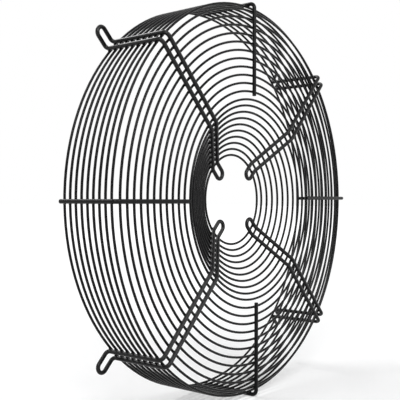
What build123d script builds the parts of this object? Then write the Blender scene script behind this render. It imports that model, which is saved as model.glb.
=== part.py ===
from build123d import *

import os
from math import cos, radians, sin, sqrt, tan

# A dished wire guard for an axial fan, upright, with its face looking along -Y.
# The origin is on the fan's axis, in the plane that the feet bolt to.
# Heights are measured from that plane towards the face, and radii from the axis.

# Wires
ring_wire = 3.0
support_wire = 5.0
rod_wire = 5.0
weld_gap = 0.05

# Rings of the side wall
wall_radius = 250.0
wall_ring_count = 9
rear_ring_height = 5.0
rim_drop = 5.5

# Rings of the flat face
face_height = 82.3
face_ring_count = 12
rim_setback = 6.4
ridge_radius = 126.4
ridge_setback = 3.1

# Rings of the cone that dips in to the motor, and of the level edge round its opening
cone_angle = 26.6
cone_ring_count = 9
hub_ring_radius = 59.2
hub_level_width = 2.7
cone_setback = 4.5

# Supports, each one wire doubled back, with a round eye at both ends
support_spacing = 13.2
support_side = 1.2
eye_reach = 11.2
foot_reach = 17.8
eye_bend = 6.0
ridge_bend = 10.0
rim_bend = 6.5
foot_bend = 4.5

# Single rods between the supports
rod_side = 2.6
rod_overhang = 6.0
rod_end_height = 2.4
rod_bend = 6.5
rod_end_chamfer = 0.6

# Names and angles, seen from the front, counter-clockwise from +X
support_places = {"upper_right": 45, "upper_left": 135, "lower_left": 225, "lower_right": 315}
rod_places = {"right": 0, "top": 90, "left": 180, "bottom": 270}

cone_slope = tan(radians(cone_angle))
cone_foot = hub_ring_radius + hub_level_width
support_half = support_spacing / 2
near_side = abs(abs(support_side) - support_half)
far_side = abs(support_side) + support_half
support_contact = (ring_wire + support_wire) / 2 + weld_gap
rod_contact = (ring_wire + rod_wire) / 2 + weld_gap


def spread(first, last, count):
    """Evenly spaced values from first to last."""
    return [first + (last - first) * i / (count - 1) for i in range(count)]


def cone_height(reach):
    """Height of the ring centres under a wire at this distance out, level inside the cone's foot."""
    return face_height - (ridge_radius - max(reach, cone_foot)) * cone_slope


def beside(radius, side):
    """Distance out, along a line set to one side of the axis, at which it meets a circle."""
    return sqrt(radius**2 - side**2)


def radial_plane(angle, side):
    """Plane with x outwards, y counter-clockwise from the front, and z towards the face."""
    outward = Vector(cos(radians(angle)), 0, sin(radians(angle)))
    around = Vector(-sin(radians(angle)), 0, cos(radians(angle)))
    return Plane(origin=around * side, x_dir=outward, z_dir=(0, -1, 0))


def make_ring(name, radius, height):
    """One round hoop of wire about the fan's axis."""
    with BuildPart() as ring:
        with BuildSketch(Plane.XY):
            with Locations((radius, -height)):
                Circle(ring_wire / 2)
        revolve(axis=Axis.Y)
    ring.part.label = name
    export_step(ring.part, f"parts/{name}.step")


def make_support(name, angle):
    """Half of the doubled wire, from the middle of its eye to the middle of its foot, then mirrored."""
    plane = radial_plane(angle, support_side)
    top = face_height + support_contact
    bottom = support_wire / 2
    wall = beside(wall_radius + support_contact, near_side)
    corner_shift = support_contact * tan(radians(cone_angle / 2))
    ridge = ridge_radius - corner_shift
    eye_root = cone_foot - corner_shift
    eye_height = cone_height(cone_foot) + support_contact
    eye_centre = hub_ring_radius - eye_reach
    foot_centre = wall + foot_reach
    with BuildPart() as support:
        with BuildLine(plane) as path:
            CenterArc((eye_centre, 0, eye_height), support_half, 90, 90)
            FilletPolyline(
                (eye_centre, support_half, eye_height),
                (eye_root, support_half, eye_height),
                (ridge, support_half, top),
                (wall, support_half, top),
                (wall, support_half, bottom),
                (foot_centre, support_half, bottom),
                radius=[eye_bend, ridge_bend, rim_bend, foot_bend],
            )
            CenterArc((foot_centre, 0, bottom), support_half, 0, 90)
        line = path.wire()
        with BuildSketch(Plane(origin=line @ 0, z_dir=line % 0)):
            Circle(support_wire / 2)
        sweep(path=line)
        mirror(about=Plane(origin=plane.origin, x_dir=plane.x_dir, z_dir=plane.y_dir))
    support.part.label = name
    export_step(support.part, f"parts/{name}.step")


def make_rod(name, angle):
    """One straight wire over the face, bent at the rim and run back down the wall."""
    top = face_height + rod_contact
    wall = beside(wall_radius + rod_contact, rod_side)
    inner = face_radii[1] - rod_overhang
    with BuildPart() as rod:
        with BuildLine(radial_plane(angle, rod_side)) as path:
            FilletPolyline((inner, 0, top), (wall, 0, top), (wall, 0, rod_end_height), radius=rod_bend)
        line = path.wire()
        with BuildSketch(Plane(origin=line @ 0, z_dir=line % 0)):
            Circle(rod_wire / 2)
        sweep(path=line)
        chamfer(rod.faces().filter_by(GeomType.PLANE).edges(), length=rod_end_chamfer)
    rod.part.label = name
    export_step(rod.part, f"parts/{name}.step")


os.makedirs("parts", exist_ok=True)

cone_radii = spread(hub_ring_radius, ridge_radius - cone_setback, cone_ring_count)
for number, radius in enumerate(cone_radii, start=1):
    make_ring(f"cone_ring_{number}", radius, cone_height(beside(radius, far_side)))

face_radii = spread(ridge_radius + ridge_setback, wall_radius - rim_setback, face_ring_count)
for number, radius in enumerate(face_radii, start=1):
    make_ring(f"face_ring_{number}", radius, face_height)

wall_heights = spread(face_height - rim_drop, rear_ring_height, wall_ring_count)
for number, height in enumerate(wall_heights, start=1):
    make_ring(f"wall_ring_{number}", wall_radius, height)

for place, angle in support_places.items():
    make_support(f"support_{place}", angle)

for place, angle in rod_places.items():
    make_rod(f"rod_{place}", angle)
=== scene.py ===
from math import asin, cos, radians, sin

import bmesh
import bpy
from mathutils import Matrix, Vector


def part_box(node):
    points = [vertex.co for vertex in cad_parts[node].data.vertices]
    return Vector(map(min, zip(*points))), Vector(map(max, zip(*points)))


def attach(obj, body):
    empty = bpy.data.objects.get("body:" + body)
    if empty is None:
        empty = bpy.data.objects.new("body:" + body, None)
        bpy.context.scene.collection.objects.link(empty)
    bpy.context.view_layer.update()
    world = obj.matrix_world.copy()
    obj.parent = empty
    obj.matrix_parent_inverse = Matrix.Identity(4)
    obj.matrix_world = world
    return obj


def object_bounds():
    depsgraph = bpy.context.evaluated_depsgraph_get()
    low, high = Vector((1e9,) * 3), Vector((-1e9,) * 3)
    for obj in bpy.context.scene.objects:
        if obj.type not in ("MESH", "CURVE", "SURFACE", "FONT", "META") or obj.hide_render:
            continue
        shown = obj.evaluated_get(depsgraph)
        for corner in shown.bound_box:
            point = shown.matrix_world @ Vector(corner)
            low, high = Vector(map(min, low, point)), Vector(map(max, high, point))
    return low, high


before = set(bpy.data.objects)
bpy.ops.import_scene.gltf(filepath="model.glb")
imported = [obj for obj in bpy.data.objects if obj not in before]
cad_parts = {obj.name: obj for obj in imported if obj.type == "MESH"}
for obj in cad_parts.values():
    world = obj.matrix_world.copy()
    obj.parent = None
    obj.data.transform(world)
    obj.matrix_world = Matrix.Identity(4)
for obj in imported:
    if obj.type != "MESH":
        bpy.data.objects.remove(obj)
cad_box = [list(corner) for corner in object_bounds()]

# The guard stands upright, faces -Y, and its axis is the Y axis. Lengths are in metres.
# Angles of the supports and rods are in degrees, seen from the front, counter-clockwise from +X.
RING_WIRE = 0.003
SUPPORT_PLACES = {"upper_right": 45, "upper_left": 135, "lower_left": 225, "lower_right": 315}
ROD_PLACES = {"right": 0, "top": 90, "left": 180, "bottom": 270}
SUPPORT_SIDE = 0.0012
SUPPORT_HALF = 0.0066
ROD_SIDE = 0.0026
CONE_ANGLE = radians(26.6)

# A weld where two wires cross, as half its length along the ring, along the carrying wire, and in depth
WELD_SIZE = Vector((0.0021, 0.0018, 0.0010))
WELD_SEGMENTS = 8
WELD_BANDS = 6

# How the welds differ: the spread of their lengths, their twist, and the wave that both follow,
# which steps from ring to ring and with each metre to the side
WELD_SPREAD = 0.18
WELD_TWIST = 0.3
WELD_TWIST_WAVES = 3
WELD_STEP_BY_RING = 2.4
WELD_STEP_BY_METRE = 900

# The powder coat's broad patches, its orange peel and its fine grain, each as a scale and a detail,
# what the patches and the grain add to its roughness, and the grain's part in its relief
COAT_PATCHES = (35.0, 3.0)
COAT_PEEL = (700.0, 2.0)
COAT_GRAIN = (5200.0, 1.0)
PATCH_ROUGHNESS = 0.05
GRAIN_ROUGHNESS = 0.03
GRAIN_HEIGHT = 0.25

# The depth of the coat's relief, and its colour on the wires and on the welds
COAT_DEPTH = 0.00012
COAT_BLACK = (0.0035, 0.0035, 0.0038, 1.0)
WELD_BLACK = (0.005, 0.005, 0.0055, 1.0)

# The viewpoint, as found from the photograph
CAMERA_PLACE = Vector((-0.7364, -0.5700, -0.0018))
CAMERA_TURN = (radians(90.069), radians(-0.077), radians(-52.037))
CAMERA_LENS = 60.94
CAMERA_SENSOR = 36.0
CAMERA_NEAR = 0.01

# Soft round lamps, each as its place, its width and its watts, all aimed at the frame's origin
LAMPS = {
    "behind_above": ((-0.3, 1.3, 1.9), 1.3, 36),
    "viewer_above": ((-1.5, -1.2, 1.3), 1.2, 26),
    "front_above": ((0.1, -1.9, 1.2), 1.2, 22),
}

# The studio's own light on the guard, and the white that the camera sees round it
STUDIO_TINT = (0.95, 0.97, 1.0, 1.0)
STUDIO_LIGHT = 0.15
WHITE = (1.0, 1.0, 1.0, 1.0)

# The floor, and how much it is lifted towards white for the camera near the guard and past the lamps' reach
FLOOR_PAINT = (0.8, 0.8, 0.8, 1.0)
FLOOR_SIZE = 60.0
FLOOR_LIFT = (0.16, 1.05)
FLOOR_LIFT_REACH = 3.5


def coat_group():
    """The skin of a powder coat: a faint mottle, the orange peel of the melted powder, and a fine grain."""
    group = bpy.data.node_groups.new("powder_skin", "ShaderNodeTree")
    for name, side, kind in (
        ("Tone", "INPUT", "NodeSocketColor"),
        ("Mottle", "INPUT", "NodeSocketFloat"),
        ("Roughness", "INPUT", "NodeSocketFloat"),
        ("Color", "OUTPUT", "NodeSocketColor"),
        ("Roughness", "OUTPUT", "NodeSocketFloat"),
        ("Height", "OUTPUT", "NodeSocketFloat"),
    ):
        group.interface.new_socket(name=name, in_out=side, socket_type=kind)
    nodes, links = group.nodes, group.links
    inside = nodes.new("NodeGroupInput")
    outside = nodes.new("NodeGroupOutput")
    place = nodes.new("ShaderNodeTexCoord")

    def noise(scale, detail):
        made = nodes.new("ShaderNodeTexNoise")
        made.inputs["Scale"].default_value = scale
        made.inputs["Detail"].default_value = detail
        links.new(place.outputs["Object"], made.inputs["Vector"])
        return made.outputs["Fac"]

    def both_ways(value, limit):
        """Stretches a value from 0 to 1 so that it runs from minus the limit to the limit."""
        made = nodes.new("ShaderNodeMapRange")
        made.inputs["To Min"].default_value = -limit
        made.inputs["To Max"].default_value = limit
        links.new(value, made.inputs["Value"])
        return made.outputs["Result"]

    def calculate(operation, first, second):
        made = nodes.new("ShaderNodeMath")
        made.operation = operation
        for value, entry in zip((first, second), made.inputs):
            if isinstance(value, float):
                entry.default_value = value
            else:
                links.new(value, entry)
        return made.outputs["Value"]

    patches = noise(*COAT_PATCHES)
    peel = noise(*COAT_PEEL)
    grain = noise(*COAT_GRAIN)

    lift = calculate("MULTIPLY", both_ways(patches, 1.0), inside.outputs["Mottle"])
    tone = nodes.new("ShaderNodeVectorMath")
    tone.operation = "SCALE"
    links.new(inside.outputs["Tone"], tone.inputs["Vector"])
    links.new(calculate("ADD", lift, 1.0), tone.inputs["Scale"])
    links.new(tone.outputs["Vector"], outside.inputs["Color"])

    uneven = calculate("ADD", both_ways(patches, PATCH_ROUGHNESS), both_ways(grain, GRAIN_ROUGHNESS))
    links.new(calculate("ADD", inside.outputs["Roughness"], uneven), outside.inputs["Roughness"])
    fine = calculate("MULTIPLY", grain, GRAIN_HEIGHT)
    links.new(calculate("ADD", peel, fine), outside.inputs["Height"])
    return group


def coat_material(name, skin, tone, gloss, roughness, mottle, relief):
    material = bpy.data.materials.new(name)
    material.use_nodes = True
    nodes, links = material.node_tree.nodes, material.node_tree.links
    shader = nodes["Principled BSDF"]
    shader.inputs["Specular IOR Level"].default_value = gloss
    coat = nodes.new("ShaderNodeGroup")
    coat.node_tree = skin
    coat.inputs["Tone"].default_value = tone
    coat.inputs["Roughness"].default_value = roughness
    coat.inputs["Mottle"].default_value = mottle
    bump = nodes.new("ShaderNodeBump")
    bump.inputs["Strength"].default_value = relief
    bump.inputs["Distance"].default_value = COAT_DEPTH
    links.new(coat.outputs["Color"], shader.inputs["Base Color"])
    links.new(coat.outputs["Roughness"], shader.inputs["Roughness"])
    links.new(coat.outputs["Height"], bump.inputs["Height"])
    links.new(bump.outputs["Normal"], shader.inputs["Normal"])
    return material


def dress_wires(coat, support_coat):
    """The same black on every wire, a little glossier on the doubled supports."""
    for name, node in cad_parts.items():
        for entry in node.material_slots:
            entry.material = support_coat if name.startswith("support") else coat


def ring_circle(name):
    """A ring's radius on its wire's centre, and its height over the mounting plane."""
    low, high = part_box(name)
    radius = max(high.x - low.x, high.z - low.z) / 2 - RING_WIRE / 2
    return radius, -(low.y + high.y) / 2


def ring_seats():
    """Each ring's name, radius, height and way to the wires that carry it, as steps out and in height."""
    ways = {
        "cone": (-sin(CONE_ANGLE), cos(CONE_ANGLE)),
        "face": (0.0, 1.0),
        "wall": (1.0, 0.0),
    }
    for name in sorted(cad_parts):
        kind = name.split("_")[0]
        if kind in ways:
            # The supports run level over the smallest ring, as they do over the face
            way = ways["face"] if name == "cone_ring_1" else ways[kind]
            yield name, *ring_circle(name), way


def weld_place(angle, side, radius, height, way, wave):
    """Matrix that sets a unit ball at a crossing, between the ring and the wire that carries it.

    Its x runs along the ring, its y along the carrying wire, and its z from the ring to that wire.
    """
    out = Vector((cos(angle), 0, sin(angle)))
    around = Vector((-sin(angle), 0, cos(angle)))
    forward = Vector((0, -1, 0))
    reach = (radius**2 - side**2) ** 0.5
    lean = asin(side / radius)
    normal = (out * way[0] + forward * way[1]).normalized()
    along_ring = (around * cos(lean) - out * sin(lean)).normalized()
    along_wire = normal.cross(along_ring).normalized()
    centre = out * reach + around * side + forward * height + normal * (RING_WIRE / 2)
    swell = 1 + WELD_SPREAD * sin(wave)
    size = Matrix.Diagonal((WELD_SIZE.x * swell, WELD_SIZE.y / swell, WELD_SIZE.z, 1))
    turned = Matrix((along_ring, along_wire, normal)).transposed().to_4x4()
    twist = Matrix.Rotation(WELD_TWIST * sin(WELD_TWIST_WAVES * wave), 4, "Z")
    return Matrix.Translation(centre) @ turned @ twist @ size


def weld_piece(name, angle, sides, seats, material):
    """All the welds of one support or rod, which lie at these sides of its radius."""
    mesh = bpy.data.meshes.new(name)
    form = bmesh.new()
    for index, (radius, height, way) in enumerate(seats):
        for side in sides:
            wave = WELD_STEP_BY_RING * index + WELD_STEP_BY_METRE * side
            place = weld_place(angle, side, radius, height, way, wave)
            bmesh.ops.create_uvsphere(
                form, u_segments=WELD_SEGMENTS, v_segments=WELD_BANDS, radius=1, matrix=place
            )
    bmesh.ops.recalc_face_normals(form, faces=form.faces)
    for face in form.faces:
        face.smooth = True
    form.to_mesh(mesh)
    form.free()
    mesh.materials.append(material)
    piece = bpy.data.objects.new(name, mesh)
    bpy.context.scene.collection.objects.link(piece)
    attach(piece, "root")


def make_welds(material):
    """A support is welded to every ring, and a rod to the wall's and to all but the first of the face's."""
    rings = list(ring_seats())
    all_seats = [seat for _, *seat in rings]
    rod_seats = [seat for name, *seat in rings if not name.startswith("cone") and name != "face_ring_1"]
    support_sides = (SUPPORT_SIDE - SUPPORT_HALF, SUPPORT_SIDE + SUPPORT_HALF)
    for place, angle in SUPPORT_PLACES.items():
        weld_piece(f"welds_support_{place}", radians(angle), support_sides, all_seats, material)
    for place, angle in ROD_PLACES.items():
        weld_piece(f"welds_rod_{place}", radians(angle), (ROD_SIDE,), rod_seats, material)


def make_camera():
    data = bpy.data.cameras.new("viewpoint")
    data.lens = CAMERA_LENS
    data.sensor_width = CAMERA_SENSOR
    data.clip_start = CAMERA_NEAR
    camera = bpy.data.objects.new("viewpoint", data)
    camera.location = CAMERA_PLACE
    camera.rotation_euler = CAMERA_TURN
    bpy.context.scene.collection.objects.link(camera)
    bpy.context.scene.camera = camera


def make_lamps():
    for name, (place, width, watts) in LAMPS.items():
        data = bpy.data.lights.new(name, "AREA")
        data.shape = "DISK"
        data.size = width
        data.energy = watts
        lamp = bpy.data.objects.new(name, data)
        lamp.location = place
        lamp.rotation_euler = (-Vector(place)).to_track_quat("-Z", "Y").to_euler()
        bpy.context.scene.collection.objects.link(lamp)


def seen_by_camera(nodes, links):
    """A value of 1 for what the camera sees, also in a reflection or through glass."""
    path = nodes.new("ShaderNodeLightPath")
    total = path.outputs["Is Camera Ray"]
    for name in ("Is Glossy Ray", "Is Transmission Ray"):
        most = nodes.new("ShaderNodeMath")
        most.operation = "MAXIMUM"
        links.new(total, most.inputs[0])
        links.new(path.outputs[name], most.inputs[1])
        total = most.outputs["Value"]
    return total


def make_world():
    """A dim even light on the guard, before a background that the camera sees as white."""
    world = bpy.data.worlds.new("studio")
    bpy.context.scene.world = world
    world.use_nodes = True
    nodes, links = world.node_tree.nodes, world.node_tree.links
    nodes.clear()
    light = nodes.new("ShaderNodeBackground")
    light.inputs["Color"].default_value = STUDIO_TINT
    light.inputs["Strength"].default_value = STUDIO_LIGHT
    background = nodes.new("ShaderNodeBackground")
    background.inputs["Color"].default_value = WHITE
    both = nodes.new("ShaderNodeMixShader")
    out = nodes.new("ShaderNodeOutputWorld")
    links.new(seen_by_camera(nodes, links), both.inputs[0])
    links.new(light.outputs[0], both.inputs[1])
    links.new(background.outputs[0], both.inputs[2])
    links.new(both.outputs[0], out.inputs["Surface"])


def floor_material():
    """Pale paint, lifted for the camera alone, so that it sees white where nothing shades the floor."""
    material = bpy.data.materials.new("floor_white")
    material.use_nodes = True
    nodes, links = material.node_tree.nodes, material.node_tree.links
    nodes.clear()
    paint = nodes.new("ShaderNodeBsdfDiffuse")
    paint.inputs["Color"].default_value = FLOOR_PAINT
    glow = nodes.new("ShaderNodeEmission")
    place = nodes.new("ShaderNodeTexCoord")
    distance = nodes.new("ShaderNodeVectorMath")
    distance.operation = "LENGTH"
    links.new(place.outputs["Object"], distance.inputs[0])
    ramp = nodes.new("ShaderNodeMapRange")
    ramp.inputs["From Max"].default_value = FLOOR_LIFT_REACH
    ramp.inputs["To Min"].default_value, ramp.inputs["To Max"].default_value = FLOOR_LIFT
    links.new(distance.outputs["Value"], ramp.inputs["Value"])
    lift = nodes.new("ShaderNodeMath")
    lift.operation = "MULTIPLY"
    links.new(seen_by_camera(nodes, links), lift.inputs[0])
    links.new(ramp.outputs["Result"], lift.inputs[1])
    links.new(lift.outputs["Value"], glow.inputs["Strength"])
    both = nodes.new("ShaderNodeAddShader")
    out = nodes.new("ShaderNodeOutputMaterial")
    links.new(paint.outputs[0], both.inputs[0])
    links.new(glow.outputs[0], both.inputs[1])
    links.new(both.outputs[0], out.inputs["Surface"])
    return material


def make_floor():
    """The floor lies under the guard's lowest point."""
    mesh = bpy.data.meshes.new("floor")
    form = bmesh.new()
    level = Matrix.Translation((0, 0, cad_box[0][2]))
    bmesh.ops.create_grid(form, x_segments=1, y_segments=1, size=FLOOR_SIZE / 2, matrix=level)
    form.to_mesh(mesh)
    form.free()
    mesh.materials.append(floor_material())
    floor = bpy.data.objects.new("floor", mesh)
    bpy.context.scene.collection.objects.link(floor)


skin = coat_group()
black_coat = coat_material(
    "black_powder_coat", skin, COAT_BLACK, gloss=0.13, roughness=0.27, mottle=0.2, relief=0.15
)
support_coat = coat_material(
    "support_powder_coat", skin, COAT_BLACK, gloss=0.22, roughness=0.27, mottle=0.2, relief=0.15
)
weld_coat = coat_material(
    "coated_weld", skin, WELD_BLACK, gloss=0.13, roughness=0.4, mottle=0.25, relief=0.3
)
dress_wires(black_coat, support_coat)
make_welds(weld_coat)
make_floor()
make_world()
make_lamps()
make_camera()
bpy.context.scene.view_settings.view_transform = "Standard"
